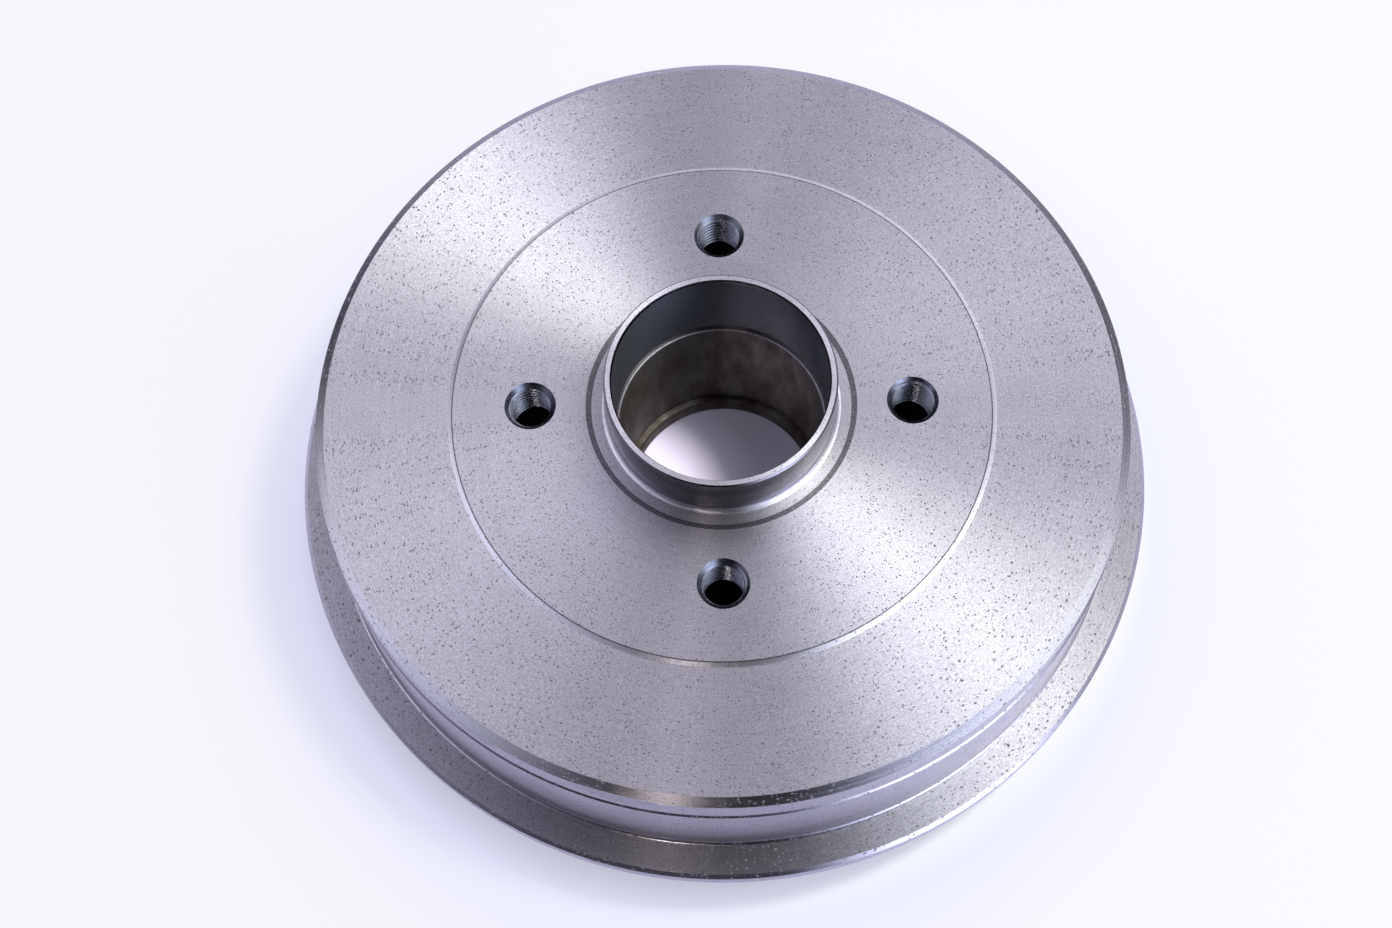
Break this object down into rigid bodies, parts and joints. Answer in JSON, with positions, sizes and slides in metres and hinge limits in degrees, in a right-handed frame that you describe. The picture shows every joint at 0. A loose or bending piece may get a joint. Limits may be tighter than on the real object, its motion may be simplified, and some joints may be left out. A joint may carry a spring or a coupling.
{
  "type": "brake drum",
  "caption": "Cast iron rear brake drum with a cast-in wheel hub, bearing bore, centring collar and tapped wheel-bolt holes.",
  "frame": {"origin": "centre of the turned face that the wheel is bolted against, on the axle line", "axes": "+Z along the axle, out of the car towards the wheel; +X and +Y through two of the four wheel-bolt holes"},
  "size_m": [0.2335, 0.2334, 0.0765],
  "materials": {
    "cast_iron": "turned grey iron"
  },
  "bodies": {
    "root": {"brake_drum": "cast_iron"}
  },
  "joints": []
}
